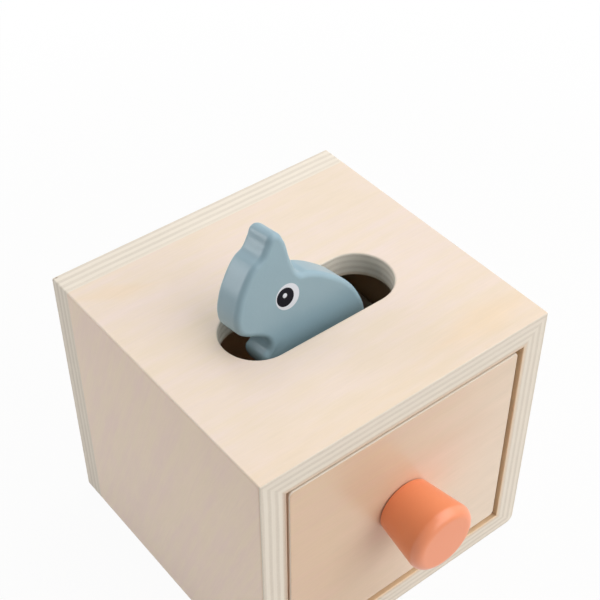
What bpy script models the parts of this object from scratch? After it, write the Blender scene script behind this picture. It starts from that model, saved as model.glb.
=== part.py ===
"""Object permanence box: a mitred plywood case with a slot, a drawer below it and a wooden animal.

World frame in metres: +X to the right, +Y to the back, +Z up. The origin is the centre of the
case's underside. The drawer slides out towards -Y, and the animal slides through the slot.
"""
import math

import bmesh
import bpy
from mathutils import Matrix, Vector

MM = 0.001

# Case: four mitred boards in a ring, with a back board glued over their rear ends
CASE_WIDTH = 120 * MM
CASE_DEPTH = 117 * MM
CASE_HEIGHT = 110 * MM
BOARD = 10 * MM
BACK_BOARD = 10 * MM
GLUE_LINE = 0.3 * MM
EDGE_ROUND = 1.0 * MM
FOOT_ROUND = 3.2 * MM

# Slot in the top board, round at both ends
SLOT_LENGTH = 68.2 * MM
SLOT_WIDTH = 26 * MM
SLOT_SETBACK = 52.7 * MM
SLOT_RIM_ROUND = 0.7 * MM

# Drawer: a thick front set inside the case's ring, and a thin box behind it
SIDE_GAP = 1.4 * MM
TOP_GAP = 2.2 * MM
FOOT_GAP = 1.8 * MM
RUNNER_GAP = 0.3 * MM
REAR_GAP = 0.3 * MM
FRONT_RECESS = 0.7 * MM
FRONT_BOARD = 10 * MM
FRONT_ROUND = 1.0 * MM
FRONT_CORNER_ROUND = 1.8 * MM
DRAWER_WALL = 5 * MM
DRAWER_WALL_STEP = 30 * MM
DRAWER_WALL_ROUND = 0.8 * MM
FLOOR_SHEET = 3 * MM
FLOOR_RISE = 5 * MM
GROOVE_DEPTH = 2.5 * MM
JOINT_GAP = 0.3 * MM

# Knob: a turned cone, wider at its outer end, held by a screw from inside the front
KNOB_LENGTH = 21 * MM
KNOB_BASE_RADIUS = 10.7 * MM
KNOB_END_RADIUS = 13.8 * MM
KNOB_RIM_ROUND = 3.5 * MM
KNOB_BASE_ROUND = 0.6 * MM
KNOB_RISE = 1.2 * MM
SEAT_GAP = 0.3 * MM
SCREW_RADIUS = 1.9 * MM
SCREW_GRIP = 12 * MM
SCREW_POINT = 4 * MM
SCREW_HEAD_RADIUS = 4 * MM
SCREW_HEAD_HEIGHT = 2.6 * MM
SCREW_HEAD_ROUND = 1.8 * MM
SCREW_DRIVE_WIDTH = 1.0 * MM
SCREW_DRIVE_LENGTH = 4.6 * MM
SCREW_DRIVE_DEPTH = 1.4 * MM
BORE_CLEARANCE = 0.3 * MM
BORE_TIP_CLEARANCE = 0.8 * MM

# Animal: a thick board with rounded edges that passes the slot, leaning back in the photograph
ANIMAL_SIDE_CLEARANCE = 6.9 * MM
ANIMAL_END_CLEARANCE = 2.3 * MM
ANIMAL_EDGE_ROUND = 2 * MM
ANIMAL_LEAN = math.radians(10)

# The animal's outline, drawn flat in millimetres: +X towards its back and +Y up its height,
# from the point where its middle plane crosses the case's top. The nose is its widest reach.
ANIMAL_OUTLINE = [
    (-11.4, 35.2),   # tip of the ear
    (-14.1, 35.4),
    (-16.5, 32.2),
    (-18.8, 29.4),   # front foot of the ear
    (-22.3, 27.5),
    (-27.1, 22.0),
    (-30.3, 16.3),
    (-31.8, 10.2),   # nose
    (-31.1, 6.6),
    (-28.6, 4.2),
    (-24.6, 2.2),    # mouth
    (-21.0, -1.0),
    (-20.9, -4.4),   # corner of the mouth
    (-23.5, -7.0),   # chin
    (-22.9, -10.8),
    (-20.6, -14.6),
    (-18.6, -21.5),
    (-12.6, -29.0),
    (-1.0, -32.2),   # underside
    (11.6, -28.4),
    (18.0, -19.5),
    (19.4, -9.6),
    (17.5, -1.7),
    (13.3, 5.2),     # back
    (6.7, 11.3),
    (-1.2, 16.2),
    (-5.2, 17.6),    # rear foot of the ear
    (-7.6, 23.2),
    (-9.4, 32.0),
]

# Facets of the round stretches
ROUND_SEGMENTS = 3
SLOT_ARC_SEGMENTS = 24
OUTLINE_SEGMENTS = 6
TURN_STEPS = 48
SCREW_TURN_STEPS = 24
RIM_SEGMENTS = 6
SHARP_ANGLE = math.radians(35)
RIM_ANGLE = math.radians(60)

# Blanks stand this far past the faces that trim them
TRIM = 2 * MM
# Points closer than this are one point
WELD = 0.001 * MM


def srgb(red, green, blue):
    """Linear colour of an 8-bit display colour."""
    def linear(value):
        share = value / 255
        if share <= 0.04045:
            return share / 12.92
        return ((share + 0.055) / 1.055) ** 2.4
    return (linear(red), linear(green), linear(blue), 1.0)


def new_material(name, colour, roughness, metallic=0.0):
    material = bpy.data.materials.new(name)
    material.use_nodes = True
    shader = material.node_tree.nodes["Principled BSDF"]
    shader.inputs["Base Color"].default_value = colour
    shader.inputs["Roughness"].default_value = roughness
    shader.inputs["Metallic"].default_value = metallic
    material.diffuse_color = colour
    return material


def new_object(name, mesh, collection, location=(0, 0, 0)):
    obj = bpy.data.objects.new(name, mesh)
    obj.location = location
    collection.objects.link(obj)
    return obj


def as_cutter(obj):
    """Marks obj as a tool that shapes other pieces and is not one itself."""
    obj.hide_render = True
    obj.display_type = "WIRE"
    return obj


def add_boolean(obj, tool, operation):
    modifier = obj.modifiers.new(tool.name, "BOOLEAN")
    modifier.operation = operation
    modifier.object = tool
    modifier.solver = "EXACT"


def evaluated_mesh(obj):
    bpy.context.view_layer.update()
    depsgraph = bpy.context.evaluated_depsgraph_get()
    return bpy.data.meshes.new_from_object(obj.evaluated_get(depsgraph))


def rounded_box(name, low, high, rounding, collection):
    """A box between two corners. rounding maps two of its faces to the radius of their edge."""
    faces = {
        "left": Vector((-1, 0, 0)), "right": Vector((1, 0, 0)),
        "front": Vector((0, -1, 0)), "back": Vector((0, 1, 0)),
        "foot": Vector((0, 0, -1)), "top": Vector((0, 0, 1)),
    }
    low, high = Vector(low), Vector(high)
    bm = bmesh.new()
    bmesh.ops.create_cube(bm, size=1.0)
    bmesh.ops.scale(bm, vec=high - low, verts=bm.verts)
    widest = max(rounding.values(), default=0.0)
    weight = bm.edges.layers.float.new("bevel_weight_edge")
    for pair, radius in rounding.items():
        wanted = [faces[face] for face in pair]
        for edge in bm.edges:
            normals = [face.normal for face in edge.link_faces]
            if all(any(normal.dot(want) > 0.9 for normal in normals) for want in wanted):
                edge[weight] = radius / widest
    mesh = bpy.data.meshes.new(name)
    bm.to_mesh(mesh)
    bm.free()
    obj = new_object(name, mesh, collection, (low + high) / 2)
    if rounding:
        bevel = obj.modifiers.new("Rounding", "BEVEL")
        bevel.limit_method = "WEIGHT"
        bevel.width = widest
        bevel.segments = ROUND_SEGMENTS
    return obj


def cut_from_board(name, outline, half_thickness, matrix, collection, edge_round=0.0, smooth=False):
    """A flat outline extruded to both sides, as a closed mesh placed by matrix."""
    curve = bpy.data.curves.new(name + "_outline", "CURVE")
    curve.dimensions = "2D"
    curve.fill_mode = "BOTH"
    curve.extrude = half_thickness - edge_round
    curve.bevel_depth = edge_round
    curve.bevel_resolution = ROUND_SEGMENTS
    curve.offset = -edge_round
    spline = curve.splines.new("BEZIER" if smooth else "POLY")
    if smooth:
        curve.resolution_u = OUTLINE_SEGMENTS
        spline.bezier_points.add(len(outline) - 1)
        for point, (x, y) in zip(spline.bezier_points, outline):
            point.co = (x, y, 0)
            point.handle_left_type = "AUTO"
            point.handle_right_type = "AUTO"
    else:
        spline.points.add(len(outline) - 1)
        for point, (x, y) in zip(spline.points, outline):
            point.co = (x, y, 0, 1)
    spline.use_cyclic_u = True
    guide = new_object(name + "_outline", curve, collection)
    guide.matrix_world = matrix
    mesh = evaluated_mesh(guide)
    bm = bmesh.new()
    bm.from_mesh(mesh)
    bmesh.ops.remove_doubles(bm, verts=bm.verts, dist=WELD)
    bmesh.ops.recalc_face_normals(bm, faces=bm.faces)
    bm.to_mesh(mesh)
    bm.free()
    mesh.name = name
    obj = new_object(name, mesh, collection)
    obj.matrix_world = guide.matrix_world
    bpy.data.objects.remove(guide)
    bpy.data.curves.remove(curve)
    return obj


def turned(name, profile, steps, collection, location):
    """A profile of (radius, height) points turned round an axis that points out of the drawer."""
    mesh = bpy.data.meshes.new(name)
    points = [(radius, 0, height) for radius, height in profile]
    edges = [(index, index + 1) for index in range(len(points) - 1)]
    mesh.from_pydata(points, edges, [])
    obj = new_object(name, mesh, collection, location)
    obj.rotation_euler = (math.radians(90), 0, 0)
    screw = obj.modifiers.new("Turning", "SCREW")
    screw.axis = "Z"
    screw.steps = steps
    screw.render_steps = steps
    screw.use_merge_vertices = True
    screw.merge_threshold = WELD
    screw.use_smooth_shade = True
    return obj


def fillet(before, corner, after, radius, segments):
    """Points of an arc that rounds the corner between two straight runs."""
    corner = Vector(corner)
    back = (Vector(before) - corner).normalized()
    ahead = (Vector(after) - corner).normalized()
    half = back.angle(ahead) / 2
    centre = corner + (back + ahead).normalized() * radius / math.sin(half)
    start = corner + back * radius / math.tan(half) - centre
    end = corner + ahead * radius / math.tan(half) - centre
    sweep = start.angle_signed(end)
    points = []
    for step in range(segments + 1):
        turn = -sweep * step / segments
        x = start.x * math.cos(turn) - start.y * math.sin(turn)
        y = start.x * math.sin(turn) + start.y * math.cos(turn)
        points.append((centre.x + x, centre.y + y))
    return points


def mitred_outline(first, second):
    """Section of a ring board between two corners, given as signs of X and of Z.

    Its outer side stands TRIM past the case, and its mitres leave half a glue line each.
    """
    def corner(signs, inset):
        x = signs[0] * (CASE_WIDTH / 2 - inset)
        z = CASE_HEIGHT / 2 + signs[1] * (CASE_HEIGHT / 2 - inset)
        return Vector((x, z))
    outer = [corner(first, -TRIM), corner(second, -TRIM)]
    inner = [corner(first, BOARD), corner(second, BOARD)]
    along = (outer[1] - outer[0]).normalized() * GLUE_LINE / 2 * math.sqrt(2)
    return [outer[0] + along, outer[1] - along, inner[1] - along, inner[0] + along]


def ring_board(name, first, second, collection):
    """One board of the ring, running from the case's front to the back board."""
    low = -CASE_DEPTH / 2 - TRIM
    high = CASE_DEPTH / 2 - BACK_BOARD - GLUE_LINE
    upright = Matrix.Translation((0, (low + high) / 2, 0)) @ Matrix.Rotation(math.radians(90), 4, "X")
    return cut_from_board(name, mitred_outline(first, second), (high - low) / 2, upright, collection)


def slot_outline():
    """Two half circles joined by straight runs."""
    radius = SLOT_WIDTH / 2
    reach = SLOT_LENGTH / 2 - radius
    points = []
    for side, start in ((1, -90), (-1, 90)):
        for step in range(SLOT_ARC_SEGMENTS + 1):
            angle = math.radians(start + 180 * step / SLOT_ARC_SEGMENTS)
            points.append((side * reach + radius * math.cos(angle), radius * math.sin(angle)))
    return points


def round_slot_rims(obj):
    """Rounds the edges where the slot meets the two faces of the top board."""
    mesh = evaluated_mesh(obj)
    obj.modifiers.clear()
    obj.data = mesh
    place = obj.matrix_world.copy()
    bm = bmesh.new()
    bm.from_mesh(mesh)
    rims = []
    for edge in bm.edges:
        middle = place @ ((edge.verts[0].co + edge.verts[1].co) / 2)
        inside_x = abs(middle.x) < SLOT_LENGTH / 2 + WELD
        inside_y = abs(middle.y - slot_y) < SLOT_WIDTH / 2 + WELD
        if inside_x and inside_y and edge.is_manifold and edge.calc_face_angle() > RIM_ANGLE:
            rims.append(edge)
    bmesh.ops.bevel(bm, geom=rims, offset=SLOT_RIM_ROUND, segments=ROUND_SEGMENTS, profile=0.5,
                    affect="EDGES", clamp_overlap=True)
    bm.to_mesh(mesh)
    bm.free()


def make_case(parts, cutters):
    """The four mitred boards and the back board, sanded round together after gluing."""
    half_width = CASE_WIDTH / 2
    half_depth = CASE_DEPTH / 2
    edges = {}
    for face in ("left", "right"):
        edges[("top", face)] = EDGE_ROUND
        edges[("foot", face)] = FOOT_ROUND
    for end in ("front", "back"):
        for face in ("left", "right", "top", "foot"):
            edges[(end, face)] = EDGE_ROUND
    envelope = rounded_box("case_envelope", (-half_width, -half_depth, 0),
                           (half_width, half_depth, CASE_HEIGHT), edges, cutters)
    as_cutter(envelope)

    slot_place = Matrix.Translation((0, slot_y, CASE_HEIGHT - BOARD / 2))
    slot = as_cutter(cut_from_board("slot_cutter", slot_outline(), BOARD, slot_place, cutters))
    top = ring_board("top_panel", (-1, 1), (1, 1), parts)
    add_boolean(top, slot, "DIFFERENCE")

    boards = [
        top,
        ring_board("right_side", (1, 1), (1, -1), parts),
        ring_board("bottom_panel", (1, -1), (-1, -1), parts),
        ring_board("left_side", (-1, -1), (-1, 1), parts),
        rounded_box("back_panel", (-half_width - TRIM, half_depth - BACK_BOARD, -TRIM),
                    (half_width + TRIM, half_depth + TRIM, CASE_HEIGHT + TRIM), {}, parts),
    ]
    for board in boards:
        add_boolean(board, envelope, "INTERSECT")
    top.data = evaluated_mesh(top)
    top.modifiers.clear()
    round_slot_rims(top)
    return boards


def make_drawer_box(parts, cutters):
    """The front, the two sides, the back and the floor sheet in its groove."""
    front = rounded_box(
        "drawer_front", (-drawer_half, front_face_y, front_low), (drawer_half, front_back_y, front_high),
        {("front", "left"): FRONT_ROUND, ("front", "right"): FRONT_ROUND,
         ("front", "top"): FRONT_ROUND, ("front", "foot"): FRONT_ROUND,
         ("top", "left"): FRONT_CORNER_ROUND, ("top", "right"): FRONT_CORNER_ROUND,
         ("foot", "left"): FRONT_CORNER_ROUND, ("foot", "right"): FRONT_CORNER_ROUND}, parts)
    top_edges = {("top", "left"): DRAWER_WALL_ROUND, ("top", "right"): DRAWER_WALL_ROUND}
    sides = []
    for name, side in (("drawer_left_side", -1), ("drawer_right_side", 1)):
        faces = sorted((side * drawer_half, side * (drawer_half - DRAWER_WALL)))
        sides.append(rounded_box(name, (faces[0], front_back_y + JOINT_GAP, drawer_foot),
                                 (faces[1], drawer_rear_y, wall_high), top_edges, parts))
    back_half = drawer_half - DRAWER_WALL - JOINT_GAP
    back = rounded_box(
        "drawer_back", (-back_half, drawer_rear_y - DRAWER_WALL, floor_high + JOINT_GAP),
        (back_half, drawer_rear_y, wall_high),
        {("top", "front"): DRAWER_WALL_ROUND, ("top", "back"): DRAWER_WALL_ROUND}, parts)
    floor_half = drawer_half - DRAWER_WALL + GROOVE_DEPTH - JOINT_GAP
    floor_front = front_back_y - GROOVE_DEPTH + JOINT_GAP
    floor = rounded_box("drawer_floor", (-floor_half, floor_front, floor_low),
                        (floor_half, drawer_rear_y, floor_high), {}, parts)
    groove = as_cutter(rounded_box(
        "floor_groove", (-floor_half - JOINT_GAP, floor_front - JOINT_GAP, floor_low - JOINT_GAP),
        (floor_half + JOINT_GAP, drawer_rear_y + TRIM, floor_high + JOINT_GAP), {}, cutters))
    for board in (front, *sides):
        add_boolean(board, groove, "DIFFERENCE")
    return [front, *sides, back, floor]


def make_knob(parts):
    """The turned knob with its pilot bore."""
    bore = SCREW_RADIUS + BORE_CLEARANCE
    bore_depth = SCREW_GRIP + BORE_TIP_CLEARANCE
    end_centre = (0, KNOB_LENGTH)
    end_corner = (KNOB_END_RADIUS, KNOB_LENGTH)
    base_corner = (KNOB_BASE_RADIUS, 0)
    profile = [end_centre]
    profile += fillet(end_centre, end_corner, base_corner, KNOB_RIM_ROUND, RIM_SEGMENTS)
    profile += fillet(end_corner, base_corner, (bore, 0), KNOB_BASE_ROUND, ROUND_SEGMENTS)
    profile += [(bore, 0), (bore, bore_depth), (0, bore_depth)]
    return turned("knob", profile, TURN_STEPS, parts, (0, front_face_y - SEAT_GAP, knob_z))


def make_knob_screw(parts, cutters):
    """A pan-head screw: its head lies on the inside of the front, its point is in the knob."""
    seat_y = front_back_y + SEAT_GAP
    length = FRONT_BOARD + 2 * SEAT_GAP + SCREW_GRIP
    head_corner = (SCREW_HEAD_RADIUS, -SCREW_HEAD_HEIGHT)
    profile = [(0, length), (SCREW_RADIUS, length - SCREW_POINT), (SCREW_RADIUS, 0), (SCREW_HEAD_RADIUS, 0)]
    profile += fillet((SCREW_HEAD_RADIUS, 0), head_corner, (0, -SCREW_HEAD_HEIGHT),
                      SCREW_HEAD_ROUND, RIM_SEGMENTS)
    profile.append((0, -SCREW_HEAD_HEIGHT))
    screw = turned("knob_screw", profile, SCREW_TURN_STEPS, parts, (0, seat_y, knob_z))

    arm = SCREW_DRIVE_LENGTH / 2
    web = SCREW_DRIVE_WIDTH / 2
    cross = []
    for quarter in range(4):
        turn = Matrix.Rotation(math.radians(90 * quarter), 2)
        for corner in ((web, web), (web, arm), (-web, arm)):
            cross.append(tuple(turn @ Vector(corner)))
    head_centre = Matrix.Translation((0, seat_y + SCREW_HEAD_HEIGHT, knob_z))
    place = head_centre @ Matrix.Rotation(math.radians(90), 4, "X")
    drive = as_cutter(cut_from_board("screw_drive", cross, SCREW_DRIVE_DEPTH, place, cutters))
    add_boolean(screw, drive, "DIFFERENCE")
    return screw


def drill_front(front, cutters):
    """The clearance hole that the knob's screw passes through."""
    bm = bmesh.new()
    radius = SCREW_RADIUS + BORE_CLEARANCE
    bmesh.ops.create_cone(bm, cap_ends=True, segments=SCREW_TURN_STEPS, radius1=radius, radius2=radius,
                          depth=FRONT_BOARD + 2 * TRIM)
    mesh = bpy.data.meshes.new("screw_bore")
    bm.to_mesh(mesh)
    bm.free()
    bore = new_object("screw_bore", mesh, cutters, (0, (front_face_y + front_back_y) / 2, knob_z))
    bore.rotation_euler = (math.radians(90), 0, 0)
    add_boolean(front, as_cutter(bore), "DIFFERENCE")


def make_animal(parts):
    """The animal, cut from a thick board, with its middle plane through the slot's centre line."""
    drawn_nose = min(x for x, y in ANIMAL_OUTLINE)
    scale = (ANIMAL_END_CLEARANCE - SLOT_LENGTH / 2) / drawn_nose
    outline = [(x * scale, y * scale) for x, y in ANIMAL_OUTLINE]
    thickness = SLOT_WIDTH - 2 * ANIMAL_SIDE_CLEARANCE
    upright = Matrix.Rotation(math.radians(90) - ANIMAL_LEAN, 4, "X")
    place = Matrix.Translation((0, slot_y, CASE_HEIGHT)) @ upright
    return cut_from_board("animal_figure", outline, thickness / 2, place, parts,
                          edge_round=ANIMAL_EDGE_ROUND, smooth=True)


def finish(objects, material):
    """Gives each piece its own copy of a material and smooth shading on its round stretches."""
    for obj in objects:
        own = material.copy()
        own.name = obj.name
        obj.data.materials.clear()
        obj.data.materials.append(own)
        if len(obj.data.polygons):
            obj.data.shade_smooth()
            obj.data.set_sharp_from_angle(angle=SHARP_ANGLE)


for old in list(bpy.data.objects):
    bpy.data.objects.remove(old)

# Places that several pieces share
slot_y = SLOT_SETBACK - CASE_DEPTH / 2
front_face_y = FRONT_RECESS - CASE_DEPTH / 2
front_back_y = front_face_y + FRONT_BOARD
front_low = BOARD + FOOT_GAP
front_high = CASE_HEIGHT - BOARD - TOP_GAP
drawer_half = CASE_WIDTH / 2 - BOARD - SIDE_GAP
drawer_foot = BOARD + RUNNER_GAP
drawer_rear_y = CASE_DEPTH / 2 - BACK_BOARD - REAR_GAP
wall_high = front_high - DRAWER_WALL_STEP
floor_low = drawer_foot + FLOOR_RISE
floor_high = floor_low + FLOOR_SHEET
knob_z = (front_low + front_high) / 2 + KNOB_RISE

part_collection = bpy.data.collections.new("object_permanence_box")
cutter_collection = bpy.data.collections.new("cutters")
bpy.context.scene.collection.children.link(part_collection)
bpy.context.scene.collection.children.link(cutter_collection)

case_boards = make_case(part_collection, cutter_collection)
drawer_boards = make_drawer_box(part_collection, cutter_collection)
drill_front(drawer_boards[0], cutter_collection)
knob = make_knob(part_collection)
knob_screw = make_knob_screw(part_collection, cutter_collection)
animal = make_animal(part_collection)

finish(case_boards, new_material("case plywood", srgb(238, 219, 198), 0.55))
finish(drawer_boards, new_material("drawer plywood", srgb(224, 203, 178), 0.55))
finish([knob], new_material("orange paint", srgb(244, 150, 104), 0.4))
finish([knob_screw], new_material("zinc plated steel", srgb(190, 190, 186), 0.35, 1.0))
finish([animal], new_material("blue paint", srgb(138, 162, 170), 0.4))

# The drawer's pieces ride on an empty that lies on the drawer's sliding axis
drawer_slide = bpy.data.objects.new("drawer_slide", None)
drawer_slide.location = (0, front_face_y, drawer_foot)
part_collection.objects.link(drawer_slide)
bpy.context.view_layer.update()
for piece in (*drawer_boards, knob, knob_screw):
    piece.parent = drawer_slide
    piece.matrix_parent_inverse = drawer_slide.matrix_world.inverted()
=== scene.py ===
import math

import bmesh
import bpy
import numpy as np
from mathutils import Matrix, Vector


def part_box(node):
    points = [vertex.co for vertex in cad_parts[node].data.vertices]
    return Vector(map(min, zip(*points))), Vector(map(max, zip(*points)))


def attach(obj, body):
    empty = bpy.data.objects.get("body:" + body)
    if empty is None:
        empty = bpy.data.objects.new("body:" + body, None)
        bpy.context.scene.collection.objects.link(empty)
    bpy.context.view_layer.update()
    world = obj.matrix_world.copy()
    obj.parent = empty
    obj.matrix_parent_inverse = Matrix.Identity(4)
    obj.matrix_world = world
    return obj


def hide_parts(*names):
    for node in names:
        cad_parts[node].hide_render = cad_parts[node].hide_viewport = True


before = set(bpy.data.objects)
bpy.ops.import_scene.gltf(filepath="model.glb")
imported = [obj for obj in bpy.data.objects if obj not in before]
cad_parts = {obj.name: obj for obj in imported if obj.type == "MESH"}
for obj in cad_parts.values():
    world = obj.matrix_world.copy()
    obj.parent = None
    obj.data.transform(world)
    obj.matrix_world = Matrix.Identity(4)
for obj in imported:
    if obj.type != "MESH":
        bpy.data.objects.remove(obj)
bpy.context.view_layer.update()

# Top board: birch plywood of seven plies with a slot routed through it, round at both ends.
# Its left and right ends are mitred to the side boards, its rear end butts on the back board,
# and its arrises are sanded round after gluing.
MM = 0.001
BOARD = 10 * MM
SANDED_EDGE = 0.7 * MM
SANDED_FOOT = 3.2 * MM
INNER_ARRIS = 0.35 * MM
HAIR_GAP = 0.03 * MM
SLOT_Y = -5.8 * MM
SLOT_HALF_LENGTH = 34.1 * MM
SLOT_RADIUS = 13 * MM
SLOT_REACH = SLOT_HALF_LENGTH - SLOT_RADIUS
SLOT_RIM = 0.7 * MM
ARC_STEPS = 8
# A line of points this far from a rounding keeps the flat beside it flat
HOLD = 0.12 * MM
# The same beside the top's outer arrises, as a share of the way to the slot
RIM_HOLD = 0.003
# Points closer than this are welded, and an edge that turns by more than this stays sharp
WELD = 0.0005 * MM
SHARP = math.radians(40)

case_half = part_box("back_panel")[1].x
case_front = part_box("top_panel")[0].y
case_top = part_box("top_panel")[1].z
ring_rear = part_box("back_panel")[0].y - HAIR_GAP
quarter = np.linspace(0, np.pi / 2, ARC_STEPS + 1)
half_quarter = quarter / 2


def stitched(name, sheets, caps=()):
    """One closed mesh from sheets of points, each an array of rows by columns by 3.

    Four neighbouring points of a sheet make a face, and a cap is a loop of points that one
    face fills. Points at one place become one, and all faces are then turned outwards.
    """
    points, faces, start = [], [], 0
    for sheet in sheets:
        rows, columns = sheet.shape[:2]
        index = start + np.arange(rows * columns).reshape(rows, columns)
        corners = (index[:-1, :-1], index[1:, :-1], index[1:, 1:], index[:-1, 1:])
        faces += np.stack(corners, axis=-1).reshape(-1, 4).tolist()
        points.append(sheet.reshape(-1, 3))
        start += rows * columns
    for cap in caps:
        faces.append(list(range(start, start + len(cap))))
        points.append(cap)
        start += len(cap)
    mesh = bpy.data.meshes.new(name)
    mesh.from_pydata(np.concatenate(points), [], faces)
    bm = bmesh.new()
    bm.from_mesh(mesh)
    bmesh.ops.remove_doubles(bm, verts=bm.verts, dist=WELD)
    bmesh.ops.recalc_face_normals(bm, faces=bm.faces)
    bm.to_mesh(mesh)
    bm.free()
    mesh.shade_smooth()
    mesh.set_sharp_from_angle(angle=SHARP)
    obj = bpy.data.objects.new(name, mesh)
    bpy.context.scene.collection.objects.link(obj)
    return obj


def ring_board(place, half, radii, lengths, shares):
    """The sheets and caps of one mitred board of the ring, as a dictionary.

    A section loop of (inset, y) runs from the rear end along the outer face, round the front
    and back along the inner face. It is carried across the board from mitre to mitre: at an
    inset n the corner arc has the radius r - n, and past r it is the sharp mitred corner.
    place turns (along, depth, y) into a point, and radii are the two corner arcs' r.
    """
    inner_lengths = lengths.copy()
    inner_lengths[-1] = case_front + INNER_ARRIS
    inner_lengths[-2] = case_front + INNER_ARRIS + HOLD
    inset = np.concatenate([
        0 * lengths, SANDED_EDGE * (1 - np.cos(quarter)),
        [SANDED_EDGE + HOLD, SANDED_FOOT, BOARD - INNER_ARRIS - HOLD],
        BOARD - INNER_ARRIS * (1 - np.sin(quarter)), 0 * lengths + BOARD])[:, None]
    y = np.concatenate([
        lengths, case_front + SANDED_EDGE * (1 - np.sin(quarter)), [case_front] * 3,
        case_front + INNER_ARRIS * (1 - np.cos(quarter)), inner_lengths[::-1]])[:, None]

    def corner(radius, angle):
        """How far along and how deep the corner's points lie, a row for each inset."""
        arc = np.maximum(radius - inset, 0)
        sharp = inset > radius
        along = np.where(sharp, half - inset, half - radius + arc * np.sin(angle))
        depth = np.where(sharp, inset, radius - arc * np.cos(angle))
        return along, depth

    first, last = corner(radii[0], half_quarter[::-1]), corner(radii[1], half_quarter)
    low, high = -first[0][:, -1:], last[0][:, :1]
    along = np.concatenate([-first[0], low + (high - low) * shares, last[0]], axis=1)
    depth = np.concatenate([first[1], inset + 0 * shares, last[1]], axis=1)
    along = along * (half - HAIR_GAP / 2) / half
    grid = place(along, depth, y + 0 * along)
    arcs, ends = len(half_quarter), len(lengths)
    flat = slice(arcs, -arcs)
    return {
        "front": grid[ends - 1:-ends + 1], "first arc": grid[:ends, :arcs + 1],
        "last arc": grid[:ends, -arcs - 1:], "rear": grid[[-1, 0]],
        "outer": grid[:ends, flat], "inner": grid[-ends:, flat][::-1],
        "caps": [grid[:, 0], grid[:, -1]],
    }


def border(sheet):
    """The sheet's outer points as one closed loop."""
    return np.concatenate([sheet[0, :-1], sheet[:-1, -1], sheet[-1, :0:-1], sheet[:, 0][::-1]])


def slotted(outer, inner):
    """A sheet from the outer face's border to the slot, down its wall and out to the inner
    face's border.

    Each point of the border goes to the slot outline's nearest point: the nearest point of the
    slot's middle line, plus the radius in the direction of the border point. At the slot's two
    rims the radius grows by rim * (1 - sin), while the depth follows rim * (1 - cos).
    """
    top, under = border(outer), border(inner)
    middle = np.clip(top[:, 0], -SLOT_REACH, SLOT_REACH)
    away = top[:, :2] - np.stack([middle, SLOT_Y + 0 * middle], axis=-1)
    away /= np.linalg.norm(away, axis=1, keepdims=True)
    radius = np.concatenate([
        [SLOT_RADIUS + SLOT_RIM + HOLD], SLOT_RADIUS + SLOT_RIM * (1 - np.sin(quarter)),
        [SLOT_RADIUS] * 2, SLOT_RADIUS + SLOT_RIM * (1 - np.cos(quarter)),
        [SLOT_RADIUS + SLOT_RIM + HOLD]])
    depth = np.concatenate([
        [0], SLOT_RIM * (1 - np.cos(quarter)), [SLOT_RIM + HOLD, BOARD - SLOT_RIM - HOLD],
        BOARD - SLOT_RIM * (1 - np.sin(quarter)), [BOARD]])
    wall = np.empty((len(radius), len(top), 3))
    wall[..., 0] = middle + radius[:, None] * away[:, 0]
    wall[..., 1] = SLOT_Y + radius[:, None] * away[:, 1]
    wall[..., 2] = case_top - depth[:, None]
    return np.concatenate([
        top[None], (top + RIM_HOLD * (wall[0] - top))[None], wall,
        (under + RIM_HOLD * (wall[-1] - under))[None], under[None]])


def held_run(start, end, middle=()):
    """Places along a run, with a holding place close to each of its ends."""
    step = math.copysign(HOLD, end - start)
    return np.array([start, start + step, *middle, end - step, end])


# A noise node's values lie about this middle, and times the span they are mostly within 1
NOISE_MIDDLE = 0.5
NOISE_SPAN = 4


class Reading:
    """A number or colour in a material. Sums on it add the Math nodes that work them out."""

    def __init__(self, finish, socket):
        self.finish = finish
        self.socket = socket

    def __add__(self, other):
        return self.finish.math("ADD", self, other)

    def __sub__(self, other):
        return self.finish.math("SUBTRACT", self, other)

    def __rsub__(self, other):
        return self.finish.math("SUBTRACT", other, self)

    def __mul__(self, other):
        return self.finish.math("MULTIPLY", self, other)

    def __truediv__(self, other):
        return self.finish.math("DIVIDE", self, other)

    def __abs__(self):
        return self.finish.math("ABSOLUTE", self)

    __radd__ = __add__

    def rise(self, low, high):
        """0 below low and 1 above high, with a smooth rise between them. low may be the larger."""
        return self.finish.node(
            "MapRange", {"Value": self, "From Min": low, "From Max": high},
            interpolation_type="SMOOTHSTEP")


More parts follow.
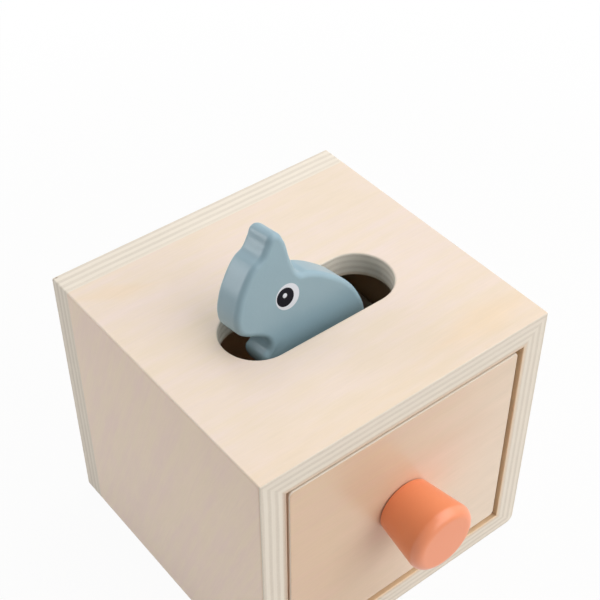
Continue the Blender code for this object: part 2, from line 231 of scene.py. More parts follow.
class Finish:
    """A piece's own material, with one way to add a node to it."""

    def __init__(self, name, kind="materials"):
        self.material = getattr(bpy.data, kind).new(name)
        self.material.use_nodes = True
        self.tree = self.material.node_tree
        self.shader = self.tree.nodes.get("Principled BSDF")

    def node(self, kind, sockets, output=0, **settings):
        """Adds a node: its settings first, then the values or readings of its sockets, each
        under the socket's name or, where a name comes twice, its number."""
        made = self.tree.nodes.new("ShaderNode" + kind)
        for name, value in settings.items():
            setattr(made, name, value)
        for place, value in sockets.items():
            self.feed(made.inputs[place], value)
        return Reading(self, made.outputs[output])

    def feed(self, socket, value):
        """Links a reading to a socket, or sets the socket to a number or colour."""
        if isinstance(value, Reading):
            self.tree.links.new(value.socket, socket)
        elif socket.type == "VECTOR":
            socket.default_value = value[:3]
        else:
            socket.default_value = value

    def math(self, operation, *values):
        """A Math node on one or two values."""
        return self.node("Math", dict(enumerate(values)), operation=operation)

    def millimetres(self):
        """The three object coordinates of the point, in millimetres."""
        metres = self.node("TexCoord", {}, output="Object")
        scaled = self.node("VectorMath", {0: metres, "Scale": 1 / MM}, operation="SCALE")
        return [self.node("SeparateXYZ", {0: scaled}, output=axis) for axis in range(3)]

    def noise(self, place, steps, detail=2.0):
        """Noise about 0, mostly within 1, over the three readings of place. steps is how many
        steps the noise takes in a millimetre: three numbers, or one for all three."""
        scaled = [axis * float(step) for axis, step in zip(place, np.broadcast_to(steps, 3))]
        vector = self.node("CombineXYZ", dict(enumerate(scaled)))
        raw = self.node("TexNoise", {"Vector": vector, "Scale": 1.0, "Detail": detail})
        return (raw - NOISE_MIDDLE) * NOISE_SPAN

    def blend(self, first, second, share):
        """The first colour where share is 0, the second where it is 1. The colours of a Mix
        node are its sockets 6 and 7 and its output 2."""
        return self.node("Mix", {0: share, 6: first, 7: second}, output=2, data_type="RGBA")

    def toned(self, colour, tone):
        """The colour times the tone, which lightens it above 1."""
        return self.node("VectorMath", {0: colour, "Scale": tone}, operation="SCALE")

    def bump(self, height, distance):
        """Height times distance, as a dent or rise of the surface."""
        return self.node("Bump", {"Height": height, "Distance": distance, "Strength": 1.0})

    def coat(self, **sockets):
        """Feeds the shader's sockets, named with _ for a space."""
        for name, value in sockets.items():
            self.feed(self.shader.inputs[name.replace("_", " ")], value)
        return self.material


def shade(red, green, blue):
    """Linear colour of an 8-bit display colour."""
    share = np.array([red, green, blue]) / 255
    linear = np.where(share <= 0.04045, share / 12.92, ((share + 0.055) / 1.055) ** 2.4)
    return (*linear.tolist(), 1.0)


X, Y, Z = 0, 1, 2
VENEER = shade(243, 224, 201)
VENEER_WARM = shade(242, 217, 185)
VENEER_ROSY = shade(238, 219, 207)
# The inner veneer, darkened as painted shade for the inside of the box and its gaps
INNER_VENEER_AND_SHADE = shade(224, 188, 150)
PLY_LIGHT = shade(244, 234, 219)
PLY_DARK = shade(230, 219, 203)
VOID_BROWN = shade(96, 70, 48)
# Figures of the veneer: steps per millimetre along and across the fibres, and their detail
VENEER_FIGURES = {
    "cloud": (0.025, 0.05, 3.0), "mottle": (0.06, 0.17, 3.0), "streak": (0.014, 0.30, 4.0),
    "hair": (0.10, 1.5, 3.0), "fleck": (0.22, 1.3, 1.0), "warm band": (0.02, 0.09, 3.0)}
# The levels between which the sparse figures rise out of their noise
FLECK_LEVELS = (1.1, 1.7)
WARM_LEVELS = (0.5, 1.7)
WARM_SHARE = 0.5
# The figures' shares in the veneer's tone, in its height and in mingling its two shades
TONE_SHARES = {"cloud": 0.016, "mottle": 0.028, "streak": 0.024, "hair": 0.018, "fleck": -0.035}
HEIGHT_SHARES = {"hair": 0.5, "streak": 0.4, "fleck": -1.0}
MINGLING_SHARES = {"cloud": 0.5, "mottle": 0.4, "streak": 0.5}
MINGLING_LEVELS = (-0.7, 0.9)
# Plies, in millimetres: how far apart the dark ones lie, how deep the first one does, and the
# distances from a dark ply's middle to its edge, to its full shade and to the glue line
PLY_PITCH = 2.7
FIRST_DARK_PLY = 0.8
DARK_EDGE = 0.95
DARK_HEART = 0.25
GLUE_LINE = 0.66
GLUE_HALF = 0.10
# How the plies wander in a board: steps per millimetre, and millimetres to either side
PLY_WANDER = (0.045, 0.16)
PLY_RIPPLE = (0.4, 0.07)
# Marks on the plies' ends: steps per millimetre, and the marks' shares in tone and in height
SPECKLES = 1.5
PATCHES = (0.07, 0.07, 0.9)
END_TONE_SHARES = {"dark speckle": 0.035, "patch": 0.022, "glue": -0.04}
END_HEIGHT_SHARES = {"speckle": 0.8, "dark": -1.2, "glue": -1.0}
# Veneer left on the outer and inner arrises, the width of its edge, and the depth and strength
# of the painted shade and light on the innermost ply, which turns it towards the inner colour
SANDED_SKIN = 0.32
INNER_SKIN = 0.25
SKIN_EDGE = 0.04
INNER_SHADE_DEPTH = 2.2
INNER_SHADE_SHARE = 0.6
# Roughness of the lacquered veneer, what its streaks and the plies' ends add to it, and the
# height of the fibres
VENEER_ROUGHNESS = 0.30
STREAK_ROUGHNESS = 0.02
END_ROUGHNESS = 0.25
FIBRE_HEIGHT = 0.012 * MM


def added(start, marks, shares):
    """start plus each mark that has a share, times its share."""
    total = start
    for mark, share in shares.items():
        total = total + marks[mark] * share
    return total


def plywood(name, node, face_axis, side, grain_axis, veneer=(VENEER, VENEER_ROSY), warm=None,
            flaw=None, turn=0, first_dark=FIRST_DARK_PLY, inner=INNER_VENEER_AND_SHADE, skin=SANDED_SKIN):
    """Plywood as a solid: what shows depends on how deep below the outer face a point lies.

    The outer face is the node's lowest one along face_axis where side is -1, and its highest
    one where side is 1. Both faces are veneers figured along grain_axis, turned by turn degrees,
    and between them light and dark plies take turns. The outer veneer mingles two shades. warm
    is a third shade and the function of its share, on the drawer front painted light. flaw is
    the function of a dark void's share, inner the colour of the inner veneer, which the innermost
    ply takes on as well and which carries painted shade and painted light for the box's inside
    and gaps, and skin the veneer left on the sanded arrises.
    """
    finish = Finish(name)
    place = finish.millimetres()
    low, high = (corner[face_axis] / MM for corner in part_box(node))
    thickness = high - low
    depth = high - place[face_axis] if side > 0 else place[face_axis] - low
    across_axis = X + Y + Z - face_axis - grain_axis
    cosine, sine = math.cos(math.radians(turn)), math.sin(math.radians(turn))
    turned_place = list(place)
    turned_place[grain_axis] = place[grain_axis] * cosine + place[across_axis] * sine
    turned_place[across_axis] = place[across_axis] * cosine - place[grain_axis] * sine

    figures = {}
    for figure, (along, across, detail) in VENEER_FIGURES.items():
        steps = [across] * 3
        steps[grain_axis] = along
        figures[figure] = finish.noise(turned_place, steps, detail)
    figures["fleck"] = figures["fleck"].rise(*FLECK_LEVELS)
    tone = added(1, figures, TONE_SHARES)
    mingled = added(0, figures, MINGLING_SHARES).rise(*MINGLING_LEVELS)
    face = finish.blend(*veneer, mingled)
    if warm:
        face = finish.blend(face, warm[0], warm[1](finish, place))
    else:
        warmth = figures["warm band"].rise(*WARM_LEVELS) * WARM_SHARE
        face = finish.blend(face, VENEER_WARM, warmth)

    layer = depth - first_dark
    for steps, reach in (PLY_WANDER, PLY_RIPPLE):
        layer = layer + finish.noise(place, steps) * reach
    from_dark = finish.math("PINGPONG", layer, PLY_PITCH / 2)
    dark = from_dark.rise(DARK_EDGE, DARK_HEART)
    speckle = finish.noise(place, SPECKLES)
    marks = {
        "dark": dark, "speckle": speckle, "dark speckle": speckle * dark,
        "glue": abs(from_dark - GLUE_LINE).rise(GLUE_HALF, 0),
        "patch": finish.noise((place[X], place[Y], depth), PATCHES, detail=1.0)}
    # The innermost ply takes on the inner colour: painted shade and light at the gaps and inside
    inner_shade = depth.rise(thickness - INNER_SHADE_DEPTH, thickness) * INNER_SHADE_SHARE
    edge = finish.blend(finish.blend(PLY_LIGHT, PLY_DARK, dark), inner, inner_shade)
    edge = finish.toned(edge, added(1, marks, END_TONE_SHARES))

    face = finish.blend(face, inner, depth.rise(thickness / 2, thickness / 2 + SKIN_EDGE))
    near_face = depth.rise(skin, SKIN_EDGE) + (thickness - depth).rise(INNER_SKIN, SKIN_EDGE)
    colour = finish.blend(edge, finish.toned(face, tone), near_face)
    if flaw:
        colour = finish.blend(colour, VOID_BROWN, flaw(place))
    height = (added(0, figures, HEIGHT_SHARES) * near_face
              + added(0, marks, END_HEIGHT_SHARES) * (1 - near_face))
    rough = (VENEER_ROUGHNESS + figures["streak"] * STREAK_ROUGHNESS
             + (1 - near_face) * END_ROUGHNESS)
    return finish.coat(Base_Color=colour, Roughness=rough,
                       Normal=finish.bump(height, FIBRE_HEIGHT))


def fitted(obj, body, slot, material, *nodes):
    """Gives a piece its finish and body and hides the nodes it stands for. slot is not used."""
    obj.data.materials.append(material)
    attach(obj, body)
    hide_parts(*nodes)


def on_top(along, depth, y):
    """Points of the top board: along it from its middle to the right, and so deep in it."""
    return np.stack([along, y, case_top - depth], axis=-1)


def stretch(place, middle, reach, slope, sway, drift, fade, share):
    """The share of a slanting stretch of veneer. The distances from its middle along it, with a
    sway, and across it are each divided by its reach in millimetres and added to a drift. Where
    the sum is fade's second number or less, the whole share shows, and past the first none."""
    along = place[X] - middle[X]
    across = place[Y] - middle[Y] + along * slope
    return (abs(along + sway) / reach[X] + abs(across) / reach[Y] + drift).rise(*fade) * share


# The sapwood's slow drift and finer mottle, in steps per millimetre along x, y and z
SAPWOOD_DRIFT = (0.012, 0.06, 0.05)
SAPWOOD_MOTTLE = (0.10, 0.35, 0.3)
# The front band: how it leans, the length over which it deepens by 1, in millimetres, how far
# its edge drifts, the levels of its edge, and its share and what the mottle adds to that
BAND_LEAN = 0.114
BAND_REACH = 28.6
BAND_DRIFT = 0.35
BAND_LEVELS = (0.7, 2.2)
BAND_SHARE = 0.38
BAND_MOTTLE = 0.18


def yellow_sapwood(finish, place):
    """The warm stretches of the top's veneer: towards its front right corner, along its front
    and, faintly, at its rear left corner."""
    drift = finish.noise(place, SAPWOOD_DRIFT, detail=3.0)
    mottle = finish.noise(place, SAPWOOD_MOTTLE, detail=3.0)
    front_right = stretch(
        place, middle=(40, -47.3), reach=(31.25, 9.1), slope=-0.03, sway=drift * 5,
        drift=drift * 0.12, fade=(1.25, 0.25), share=0.55)
    rear_left = stretch(
        place, middle=(-47, 39), reach=(16.7, 5.9), slope=0.35, sway=mottle * 2,
        drift=drift * 0.1, fade=(1.2, 0.3), share=0.5)
    band = (place[X] * BAND_LEAN - place[Y]) / BAND_REACH + drift * BAND_DRIFT
    band_share = BAND_SHARE + mottle * BAND_MOTTLE
    return front_right + rear_left + band.rise(*BAND_LEVELS) * band_share


# The top's outer edges have points where lines fan out evenly from the middles of the slot's
# round ends, and between those middles in even columns
SIDE_FAN = 24
FRONT_FAN = 8
SLOT_COLUMNS = 4
flat_half = case_half - SANDED_EDGE
side_reach = flat_half - SLOT_REACH
front_reach = SLOT_Y - case_front - SANDED_EDGE
rear_turn = math.atan2(ring_rear - SLOT_Y, side_reach)
front_turn = math.atan2(-front_reach, side_reach)
fan = SLOT_Y + side_reach * np.tan(np.linspace(rear_turn, front_turn, SIDE_FAN + 1)[1:-1])
corner_turn = math.atan2(side_reach, front_reach)
spread = SLOT_REACH + front_reach * np.tan(np.linspace(0, corner_turn, FRONT_FAN + 1))
columns = np.linspace(-SLOT_REACH, SLOT_REACH, SLOT_COLUMNS + 1)[1:-1]
crosswise = np.concatenate([-spread[::-1], columns, spread])
top_sheets = ring_board(
    on_top, case_half, (SANDED_EDGE, SANDED_EDGE),
    held_run(ring_rear, case_front + SANDED_EDGE, fan),
    (crosswise + flat_half) / (2 * flat_half))
top_caps = top_sheets.pop("caps")
slot_sheet = slotted(top_sheets.pop("outer"), top_sheets.pop("inner"))
top = stitched("slotted_top_board", [*top_sheets.values(), slot_sheet], top_caps)
fitted(top, "case", "case_plywood",
       plywood("top_birch_plywood", "top_panel", Z, 1, X, warm=(VENEER_WARM, yellow_sapwood)),
       "top_panel")

# Side boards and bottom board: the same plywood, mitred and glued into a ring with the top
# board. The sides' fibres stand upright, on the left at a slant. The ring's two lower corners
# are rounded more than its upper ones.
case_middle = case_top / 2
LEFT_VENEERS = (shade(250, 226, 197), shade(241, 213, 196))
# The inner veneer as a dark copy on the left side, painted shade in the gap beside the drawer, and
# as a pale copy on the right side and bottom, painted light in their gaps
LEFT_INNER_SHADE = shade(190, 143, 102)
LIT_INNER = shade(242, 210, 172)
LEFT_TURN = -23
# Where the plain boards have lines of points: close to their rounded edges and at the middle
MITRE_HOLD = 0.002
plain_lengths = held_run(ring_rear, case_front + SANDED_EDGE, (0,))
plain_shares = np.array([0, MITRE_HOLD, 0.5, 1 - MITRE_HOLD, 1])


def on_left(along, depth, y):
    """Points of the left side: along it from its middle upwards, and so deep in it."""
    return np.stack([depth - case_half, y, case_middle + along], axis=-1)


def on_right(along, depth, y):
    """Points of the right side: along it from its middle upwards, and so deep in it."""
    return np.stack([case_half - depth, y, case_middle + along], axis=-1)


def under_foot(along, depth, y):
    """Points of the bottom board: along it from its middle to the right, and so deep in it."""
    return np.stack([along, y, depth], axis=-1)


for name, node, place, half, radii, look in (
        ("left_side_board", "left_side", on_left, case_middle, (SANDED_FOOT, SANDED_EDGE),
         dict(face_axis=X, side=-1, grain_axis=Z, veneer=LEFT_VENEERS, turn=LEFT_TURN,
              inner=LEFT_INNER_SHADE)),
        ("right_side_board", "right_side", on_right, case_middle, (SANDED_FOOT, SANDED_EDGE),
         dict(face_axis=X, side=1, grain_axis=Z, inner=LIT_INNER)),
        ("bottom_board", "bottom_panel", under_foot, case_half, (SANDED_FOOT, SANDED_FOOT),
         dict(face_axis=Z, side=-1, grain_axis=X, inner=LIT_INNER))):
    sheets = ring_board(place, half, radii, plain_lengths, plain_shares)
    caps = sheets.pop("caps")
    board = stitched(name, list(sheets.values()), caps)
    birch = plywood(name.replace("board", "plywood"), node, **look)
    fitted(board, "case", "case_plywood", birch, node)

# Back board: a full plate of the same plywood, glued over the rear ends of the ring, so that
# its plies show as a stripe along the rear of the top and of the sides.
back_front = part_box("back_panel")[0].y
back_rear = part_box("back_panel")[1].y


def panel(name, low, high, radii, rounds):
    """A plate between two corners, (x, y, z), with its width in x and its height in z.

    Its outline is a rectangle whose corner arcs have the given radii, from the upper right one
    anticlockwise seen from the front. rounds are the roundings r of its front and rear arrises:
    at an angle a the outline is drawn in by r(1 - sin a), r(1 - cos a) behind the face.
    """
    front, rear = rounds
    inset = np.concatenate([
        [front + HOLD], front * (1 - np.sin(quarter)), [0, 0], rear * (1 - np.cos(quarter)),
        [rear + HOLD]])[:, None]
    y = np.concatenate([
        [low[1]], low[1] + front * (1 - np.cos(quarter)),
        [low[1] + front + HOLD, high[1] - rear - HOLD],
        high[1] - rear * (1 - np.sin(quarter)), [high[1]]])[:, None]
    x, z = [], []
    for turn, radius in enumerate(radii):
        angle = quarter + turn * np.pi / 2
        arc = np.maximum(radius - inset, 0)
        depth = np.maximum(radius, inset)
        right, upper = turn in (0, 3), turn in (0, 1)
        x.append((high[0] - depth if right else low[0] + depth) + arc * np.cos(angle))
        z.append((high[2] - depth if upper else low[2] + depth) + arc * np.sin(angle))
    x = np.concatenate([*x, x[0][:, :1]], axis=1)
    z = np.concatenate([*z, z[0][:, :1]], axis=1)
    grid = np.stack([x, y + 0 * x, z], axis=-1)
    return stitched(name, [grid], [grid[0, :-1], grid[-1, :-1]])


# The void's middle and reach along x, y and z, in millimetres, and where its edge fades
VOID_PLACE = (-58.6, 57.6, 109.5)
VOID_REACH = (2.22, 0.625, 1.0)
VOID_FADE = (1.1, 0.5)


def corner_void(place):
    """A small gap between two plies at the upper left corner of the back board. The distances
    from its middle along x, y and z, each divided by its reach, are added, and the sum fades."""
    away = [abs(axis - middle) / reach
            for axis, middle, reach in zip(place, VOID_PLACE, VOID_REACH)]
    return (away[X] + away[Y] + away[Z]).rise(*VOID_FADE)


BACK_INNER = shade(243, 231, 214)
back = panel("back_board", (-case_half, back_front, 0), (case_half, back_rear, case_top),
             (SANDED_EDGE, SANDED_EDGE, SANDED_FOOT, SANDED_FOOT), (HAIR_GAP, SANDED_EDGE))
fitted(back, "case", "case_plywood",
       plywood("back_birch_plywood", "back_panel", Y, 1, X, flaw=corner_void, inner=BACK_INNER),
       "back_panel")

# Drawer front: a plate of the same plywood under a warmer veneer, set inside the ring with a
# shadow gap all round. Its corners and front arrises are rounded.
FRONT_CORNER = 1.8 * MM
FRONT_ARRIS = 0.7 * MM
front_low, front_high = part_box("drawer_front")
FRONT_VENEER = shade(234, 203, 170)
FRONT_ROSY = shade(229, 195, 169)
# A paler shade on the front, painted light towards its right and its foot
FRONT_PAINTED_LIGHT = shade(246, 226, 204)
# The first dark ply lies deeper and less veneer stays on the arrises than on the case, so that the
# front's arrises show pale ply: real plies, placed to paint a highlight along the arrises
FRONT_FIRST_DARK = 1.7
FRONT_SKIN = 0.12
# The paler part of the front, painted light: its lean, where it starts in x at the foot and the
# length over which it grows by 1, in millimetres, its drift along x, y and z in steps per
# millimetre, how far its edge drifts, and the levels of its edge
PALE_LEAN = 0.333
PALE_START = -16.7
PALE_REACH = 83.3
PALE_PATCHES = (0.015, 0.05, 0.07)
PALE_DRIFT = 0.15
PALE_LEVELS = (-0.5, 0.9)


def painted_light_corner(finish, place):
    """The share of the paler shade on the front: painted light, growing to the right and below."""
    drift = finish.noise(place, PALE_PATCHES, detail=3.0)
    reached = (place[X] - place[Z] * PALE_LEAN - PALE_START) / PALE_REACH
    return (reached + drift * PALE_DRIFT).rise(*PALE_LEVELS)


drawer_front = panel("drawer_front_plate", front_low, front_high, (FRONT_CORNER,) * 4,
                     (FRONT_ARRIS, INNER_ARRIS))
fitted(drawer_front, "drawer", "drawer_plywood",
       plywood("drawer_front_plywood", "drawer_front", Y, -1, X,
               veneer=(FRONT_VENEER, FRONT_ROSY), warm=(FRONT_PAINTED_LIGHT, painted_light_corner),
               first_dark=FRONT_FIRST_DARK, skin=FRONT_SKIN),
       "drawer_front")

# Drawer box: two thin plywood sides, a back between them and a floor sheet let into grooves,
# all glued behind the front. They keep their frame shapes and get a thin board's plies.
# A warm veneer made darker as painted shade for the inside seen through the slot
BOX_VENEERS_AND_SHADE = (shade(228, 200, 166), shade(220, 190, 158))
for node, face_axis, side, grain_axis in (
        ("drawer_left_side", X, -1, Y),
        ("drawer_right_side", X, 1, Y),
        ("drawer_back", Y, 1, X),
        ("drawer_floor", Z, 1, X)):
    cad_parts[node].material_slots[0].material = plywood(
        f"{node}_plywood", node, face_axis, side, grain_axis, veneer=BOX_VENEERS_AND_SHADE)

# Knob: turned wood, wider at its outer end and round at its rim, under a satin coral paint. A
# screw from inside the drawer holds it.
KNOB_BASE_RADIUS = 10.7 * MM
KNOB_END_RADIUS = 13.8 * MM
KNOB_RIM = 3.5 * MM
KNOB_SEAT = 0.6 * MM
KNOB_STEPS = 96
SEAT_STEPS = 5
RIM_STEPS = 14
# A circle on the end face, so many rim roundings in from the edge, keeps that face flat
END_HOLD = 1.3
knob_low, knob_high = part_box("knob")
knob_length = knob_high.y - knob_low.y
knob_z = (knob_low.z + knob_high.z) / 2


def rounded_corner(before, corner, after, radius, steps):
    """Points of the arc that touches both runs of a corner. Its centre lies on the bisector at
    radius / sin of half the corner's angle."""
    before, corner, after = (np.array(point, float) for point in (before, corner, after))
    back = (before - corner) / np.linalg.norm(before - corner)
    ahead = (after - corner) / np.linalg.norm(after - corner)
    half = math.acos(float(back @ ahead)) / 2
    middle = (back + ahead) / np.linalg.norm(back + ahead)
    centre = corner + middle * radius / math.sin(half)
    start = corner + back * radius / math.tan(half) - centre
    end = corner + ahead * radius / math.tan(half) - centre
    sweep = np.pi - 2 * half
    share = np.linspace(0, 1, steps + 1)[:, None]
    arc = (np.sin((1 - share) * sweep) * start + np.sin(share * sweep) * end) / np.sin(sweep)
    return centre + arc


def turned(name, profile, start, steps):
    """A profile of (radius, height) carried round an axis that runs from start towards -Y."""
    angle = np.linspace(0, 2 * np.pi, steps + 1)
    radius, height = profile[:, :1], profile[:, 1:]
    grid = np.stack([start[0] + radius * np.cos(angle), start[1] - height + 0 * angle,
                     start[2] + radius * np.sin(angle)], axis=-1)
    return stitched(name, [grid])


# Satin paint: steps per millimetre of its slow patches and of the film's peel, the level at
# which a patch has its full shade, and what the peel does to tone, roughness and height
PAINT_PATCHES = 0.05
PAINT_PATCH_LEVEL = 1.6
PEEL = 1.1
PEEL_TONE = 0.006
PEEL_ROUGHNESS = 0.02
PEEL_HEIGHT = 0.006 * MM


def satin_paint(name, colour, deep, pale, roughness, **sockets):
    """Satin paint on wood, with slow patches of a deeper and of a paler shade and a fine peel
    in the film."""
    finish = Finish(name)
    place = finish.millimetres()
    patch = finish.noise(place, PAINT_PATCHES)
    peel = finish.noise(place, PEEL)
    body = finish.blend(colour, deep, patch.rise(0, PAINT_PATCH_LEVEL))
    body = finish.blend(body, pale, patch.rise(0, -PAINT_PATCH_LEVEL))
    return finish.coat(Base_Color=finish.toned(body, 1 + peel * PEEL_TONE),
                       Roughness=roughness + peel * PEEL_ROUGHNESS,
                       Normal=finish.bump(peel, PEEL_HEIGHT), **sockets)


base, rim = (KNOB_BASE_RADIUS, 0), (KNOB_END_RADIUS, knob_length)
knob_profile = np.concatenate([
    [(0, 0), (KNOB_BASE_RADIUS - KNOB_SEAT - HOLD, 0)],
    rounded_corner((0, 0), base, rim, KNOB_SEAT, SEAT_STEPS),
    rounded_corner(base, rim, (0, knob_length), KNOB_RIM, RIM_STEPS),
    [(KNOB_END_RADIUS - KNOB_RIM * END_HOLD, knob_length), (0, knob_length)]])
knob = turned("coral_knob", knob_profile, (0, knob_high.y, knob_z), KNOB_STEPS)
CORAL = shade(254, 150, 99)
CORAL_DEEP = shade(252, 142, 91)
CORAL_PALE = shade(254, 156, 106)
CORAL_ROUGHNESS = 0.31
CORAL_SHINE = 0.9
coral = satin_paint("coral_paint", CORAL, CORAL_DEEP, CORAL_PALE, CORAL_ROUGHNESS,
                    Specular_IOR_Level=CORAL_SHINE)
fitted(knob, "drawer", "orange_paint", coral, "knob")

# Knob screw: a zinc plated pan-head screw whose head shows only inside the drawer. It keeps
# its frame shape.
ZINC = shade(196, 198, 200)
ZINC_DULL = shade(168, 171, 174)
# The plating's dull clouds: steps per millimetre, levels, and what they do to the roughness and
# the height
ZINC_CLOUDS = 0.9
CLOUD_LEVELS = (-0.6, 1.2)
ZINC_ROUGHNESS = 0.34
CLOUD_ROUGHNESS = 0.06
CLOUD_HEIGHT = 0.004 * MM
plating = Finish("zinc_plating")
dull = plating.noise(plating.millimetres(), ZINC_CLOUDS, detail=3.0)
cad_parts["knob_screw"].material_slots[0].material = plating.coat(
    Base_Color=plating.blend(ZINC, ZINC_DULL, dull.rise(*CLOUD_LEVELS)), Metallic=1.0,
    Roughness=ZINC_ROUGHNESS + dull * CLOUD_ROUGHNESS,
    Normal=plating.bump(dull, CLOUD_HEIGHT))

# Animal: cut from a thick board with a pointed ear, a blunt nose and a notch for the mouth, its
# arrises rounded by a cutter, and painted in a satin grey blue. It leans back in the slot.
LEAN = math.radians(10)
ANIMAL_HALF = 6.1 * MM
ANIMAL_ROUND = 2.0 * MM
# The point of each flat face from which its lines fan out to the outline
ANIMAL_HEART = (-13 * MM, 0)
OUTLINE_STEPS = 10
ROUND_STEPS = 8
# The curve's handles are this many times shorter than its chords, as on a smooth round
HANDLE_SPAN = 2.5614
# The outline as it is drawn on the board: along the animal towards its back, and up its height
ANIMAL_OUTLINE = MM * np.array([
    (-11.4, 35.15), (-14.1, 35.35), (-16.5, 32.2), (-18.8, 29.4), (-22.3, 27.5), (-27.1, 22.0),
    (-30.3, 16.3), (-31.8, 10.2), (-31.1, 6.6), (-28.6, 4.2), (-24.6, 2.2), (-21.0, -1.0),
    (-20.9, -4.4), (-23.5, -7.0), (-22.9, -10.8), (-20.6, -14.6), (-18.6, -21.5), (-12.6, -29.0),
    (-1.0, -32.2), (11.6, -28.4), (18.0, -19.5), (19.4, -9.6), (17.5, -1.7), (13.3, 5.2),
    (6.7, 11.3), (-1.2, 16.2), (-5.2, 17.6), (-7.6, 23.2), (-9.4, 32.0)])


def leaning(u, v, w):
    """The point u along the animal, v up it and w out of its front face."""
    return np.stack([u, SLOT_Y + v * math.sin(LEAN) - w * math.cos(LEAN),
                     case_top + v * math.cos(LEAN) + w * math.sin(LEAN)], axis=-1)


def smooth_outline(points, steps):
    """A smooth closed curve through points, and its outward normals.

    At each point the curve runs in the direction of the sum of the two chords' unit vectors
    there. Between two points it is a cubic with its handles along those directions, as long as
    the chord divided by the handle span. The normal is the slope turned by a right angle.
    """
    back = points - np.roll(points, 1, axis=0)
    ahead = np.roll(points, -1, axis=0) - points
    back_length = np.linalg.norm(back, axis=1, keepdims=True)
    ahead_length = np.linalg.norm(ahead, axis=1, keepdims=True)
    run = back / back_length + ahead / ahead_length
    run /= np.linalg.norm(run, axis=1, keepdims=True) * HANDLE_SPAN
    leave = (points + run * ahead_length)[:, None]
    arrive = np.roll(points - run * back_length, -1, axis=0)[:, None]
    start, end = points[:, None], np.roll(points, -1, axis=0)[:, None]
    t = np.linspace(0, 1, steps, endpoint=False)[None, :, None]
    curve = ((1 - t) ** 3 * start + 3 * (1 - t) ** 2 * t * leave
             + 3 * (1 - t) * t ** 2 * arrive + t ** 3 * end)
    slope = ((1 - t) ** 2 * (leave - start) + 2 * (1 - t) * t * (arrive - leave)
             + t ** 2 * (end - arrive)).reshape(-1, 2)
    slope /= np.linalg.norm(slope, axis=1, keepdims=True)
    return curve.reshape(-1, 2), np.stack([slope[:, 1], -slope[:, 0]], axis=-1)


curve, outward = smooth_outline(ANIMAL_OUTLINE, OUTLINE_STEPS)
# The outline's doubled area is negative where it runs clockwise, and its normals then inwards
area = np.sum(curve[:, 0] * np.roll(curve[:, 1], -1) - curve[:, 1] * np.roll(curve[:, 0], -1))
outward *= math.copysign(1, area)
curve = np.concatenate([curve, curve[:1]])
outward = np.concatenate([outward, outward[:1]])
round_arc = np.linspace(0, np.pi / 2, ROUND_STEPS + 1)
inset = np.concatenate([
    [ANIMAL_ROUND + HOLD], ANIMAL_ROUND * (1 - np.sin(round_arc)), [0, 0],
    ANIMAL_ROUND * (1 - np.cos(round_arc)), [ANIMAL_ROUND + HOLD]])[:, None]
thick = np.concatenate([
    [ANIMAL_HALF], ANIMAL_HALF - ANIMAL_ROUND * (1 - np.cos(round_arc)),
    [ANIMAL_HALF - ANIMAL_ROUND - HOLD, HOLD + ANIMAL_ROUND - ANIMAL_HALF],
    ANIMAL_ROUND * (1 - np.sin(round_arc)) - ANIMAL_HALF, [-ANIMAL_HALF]])[:, None]
thick = np.concatenate([thick[:1], thick, thick[-1:]])


def with_hearts(rows, heart):
    """The rows, with one before and one after them that lie wholly at the heart."""
    point = np.full_like(rows[:1], heart)
    return np.concatenate([point, rows, point])


u = with_hearts(curve[:, 0] - inset * outward[:, 0], ANIMAL_HEART[0])
v = with_hearts(curve[:, 1] - inset * outward[:, 1], ANIMAL_HEART[1])
animal = stitched("slot_animal", [leaning(u, v, thick + 0 * u)])
BLUE = shade(149, 177, 189)
BLUE_DEEP = shade(144, 173, 186)
BLUE_PALE = shade(154, 182, 193)
BLUE_ROUGHNESS = 0.33
blue = satin_paint("grey_blue_paint", BLUE, BLUE_DEEP, BLUE_PALE, BLUE_ROUGHNESS)
fitted(animal, "animal", "blue_paint", blue, "animal_figure")

# Eyes: three round spots of ink printed one on the other on both faces of the animal, a white
# one, a dark one off its centre and a small white glint.
INK_GRAIN = 2.5
INK_ROUGHNESS = 0.42
GRAIN_ROUGHNESS = 0.03
INK_SHINE = 0.12
# The ink's height, how deep a spot's edge goes into the wood, and the share of its radius
# within which it is flat
INK = 0.02 * MM
SUNK = 0.1 * MM
SPOT_EDGE = 0.985
SPOT_STEPS = 64


def printed_spot(name, centre, radius, layer, side):
    """A round spot of ink: circles that go out to its radius, rise there to the film's height
    and go back to its middle."""
    height = ANIMAL_HALF + INK * layer
    rise = np.array([-SUNK, -SUNK, -INK / 2, 0, 0])[:, None]
    reach = radius * np.array([0, 1, 1, SPOT_EDGE, 0])[:, None]
    angle = np.linspace(0, 2 * np.pi, SPOT_STEPS + 1)
    spot_u = centre[0] * MM + reach * np.cos(angle)
    spot_v = centre[1] * MM + reach * np.sin(angle)
    return stitched(name, [leaning(spot_u, spot_v, side * (height + rise) + 0 * spot_u)])


def ink(name, colour, mottle):
    """Flat printing ink with a slight mottle."""
    finish = Finish(name)
    grain = finish.noise(finish.millimetres(), INK_GRAIN)
    return finish.coat(Base_Color=finish.toned(colour, 1 + grain * mottle),
                       Roughness=INK_ROUGHNESS + grain * GRAIN_ROUGHNESS,
                       Specular_IOR_Level=INK_SHINE)


white_ink = ink("white_ink", shade(225, 229, 237), mottle=0.01)
dark_ink = ink("dark_ink", shade(14, 14, 26), mottle=0.10)
# Each spot's middle on the outline's drawing and its width, in millimetres, and its layer
for face, side in (("front", 1), ("rear", -1)):
    for spot, centre, width, layer, material in (
            ("eye_white", (-11.5, 11.8), 9.4, 1, white_ink),
            ("eye_pupil", (-12.4, 12.0), 6.8, 2, dark_ink),
            ("eye_glint", (-12.5, 12.7), 1.7, 3, white_ink)):
        eye = printed_spot(f"{spot}_{face}", centre, width * MM / 2, layer, side)
        eye.data.materials.append(material)
        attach(eye, "animal")

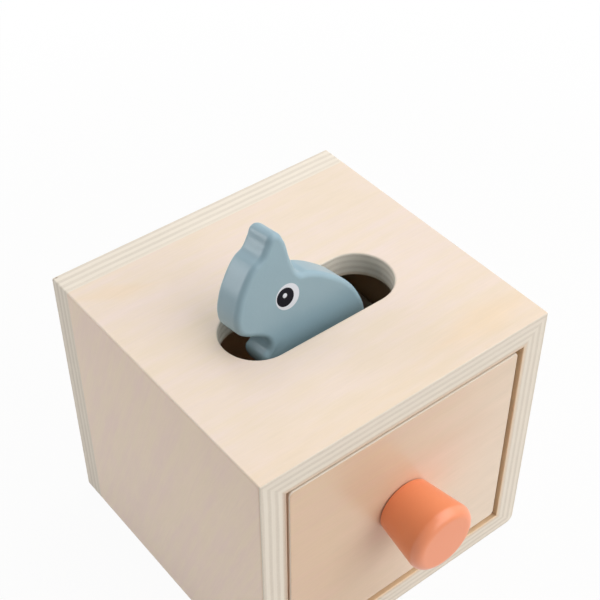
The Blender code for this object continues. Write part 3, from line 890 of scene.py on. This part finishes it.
# Floor, light and camera: a pale paper floor in a white room, lit by seven large soft lamps,
# most of them to the right and in front, and seen as in the photograph, from the front left
# and above.
FLOOR_HALF = 3.0
FLOOR_DROP = 0.05 * MM
reach = np.array([-FLOOR_HALF, FLOOR_HALF])
floor_grid = np.stack(np.broadcast_arrays(reach[:, None], reach, -FLOOR_DROP), axis=-1)
floor = stitched("pale_floor", [floor_grid])
FLOOR_PAPER = shade(222, 221, 219)
PAPER_ROUGHNESS = 0.9
# The share of the paper's own shading that the camera sees beside the box, so that the shadow
# stays, and the distances from the box's middle between which it fades out, in millimetres
SHADOW_SHARE = 0.05
SHADOW_START, SHADOW_END = 180, 420
WHITE = (1, 1, 1, 1)
ROOM_COLOUR = (1.0, 0.985, 0.965, 1)
ROOM_LIGHT = 0.2


def looked_at(finish):
    """1 for what the camera sees, directly, in a reflection or through glass, and else 0."""
    share = 0
    for ray in ("Is Camera Ray", "Is Glossy Ray", "Is Transmission Ray"):
        share = finish.math("MAXIMUM", share, finish.node("LightPath", {}, output=ray))
    return share


paper = Finish("floor_paper")
paper.coat(Base_Color=FLOOR_PAPER, Roughness=PAPER_ROUGHNESS, Specular_IOR_Level=0.0)
plain = Reading(paper, paper.shader.outputs["BSDF"])
glow = paper.node("Emission", {"Color": WHITE, "Strength": 1.0})
across, along, _ = paper.millimetres()
near = (across * across + along * along).rise(SHADOW_END ** 2, SHADOW_START ** 2)
shown = paper.node("MixShader", {
    0: looked_at(paper) * (1 - near * SHADOW_SHARE), 1: plain, 2: glow})
paper.feed(paper.tree.nodes["Material Output"].inputs["Surface"], shown)
floor.data.materials.append(paper.material)

room = Finish("bright_room", "worlds")
lit = room.node("Background", {"Color": ROOM_COLOUR, "Strength": ROOM_LIGHT})
backdrop = room.node("Background", {"Color": WHITE, "Strength": 1.0})
shown = room.node("MixShader", {0: looked_at(room), 1: lit, 2: backdrop})
room.feed(room.tree.nodes["World Output"].inputs["Surface"], shown)
bpy.context.scene.world = room.material

LAMPS_AIM = Vector((0, 0, 0.06))


def soft_lamp(name, place, size, watts):
    """A round white lamp, aimed at the middle of the box."""
    lamp = bpy.data.lights.new(name, "AREA")
    lamp.shape = "DISK"
    lamp.size = size
    lamp.energy = watts
    obj = bpy.data.objects.new(name, lamp)
    obj.location = place
    obj.rotation_euler = (Vector(place) - LAMPS_AIM).to_track_quat("Z", "Y").to_euler()
    bpy.context.scene.collection.objects.link(obj)


# Each lamp's place and width in metres, and its power in watts
for name, place, size, watts in (
        ("high_right_lamp", (0.9, -0.1, 1.7), 2.0, 13.6),
        ("high_front_lamp", (0.7, -1.3, 1.3), 2.2, 11.4),
        ("low_front_lamp", (0.8, -1.6, 0.6), 2.2, 10.3),
        ("right_lamp", (1.7, -0.2, 0.95), 2.2, 5.8),
        ("rear_right_lamp", (0.9, 0.9, 1.4), 1.6, 4.6),
        ("rear_lamp", (-0.4, 1.5, 1.4), 1.8, 5.0),
        ("rear_left_lamp", (-1.1, 1.3, 0.55), 0.9, 7.7)):
    soft_lamp(name, place, size, watts)

# The camera as fitted to the photograph. Its turn is a rotation vector: its length is the angle
# and its direction the axis. The focal length and the shift are in the photograph's pixels.
CAMERA_PLACE = Vector((-196.57, -251.96, 398.90)) * MM
CAMERA_TURN = Vector((2.22586, -0.78183, 0.34526))
FOCAL_PIXELS = 1285.5
SHIFT_PIXELS = (-20, 30)
PHOTO_SIDE = 600
SENSOR = 36.0
NEAREST = 10 * MM
# The rows of view are the camera's right, down and ahead
view = Matrix.Rotation(CAMERA_TURN.length, 3, CAMERA_TURN.normalized())
camera_data = bpy.data.cameras.new("photo_camera")
camera_data.sensor_width = SENSOR
camera_data.lens = FOCAL_PIXELS / PHOTO_SIDE * SENSOR
camera_data.shift_x = SHIFT_PIXELS[0] / PHOTO_SIDE
camera_data.shift_y = SHIFT_PIXELS[1] / PHOTO_SIDE
camera_data.clip_start = NEAREST
camera = bpy.data.objects.new("photo_camera", camera_data)
turn = Matrix((view[0], -view[1], -view[2])).transposed().to_4x4()
camera.matrix_world = Matrix.Translation(CAMERA_PLACE) @ turn
bpy.context.scene.collection.objects.link(camera)
bpy.context.scene.camera = camera
bpy.context.scene.view_settings.view_transform = "Standard"

bpy.context.view_layer.update()
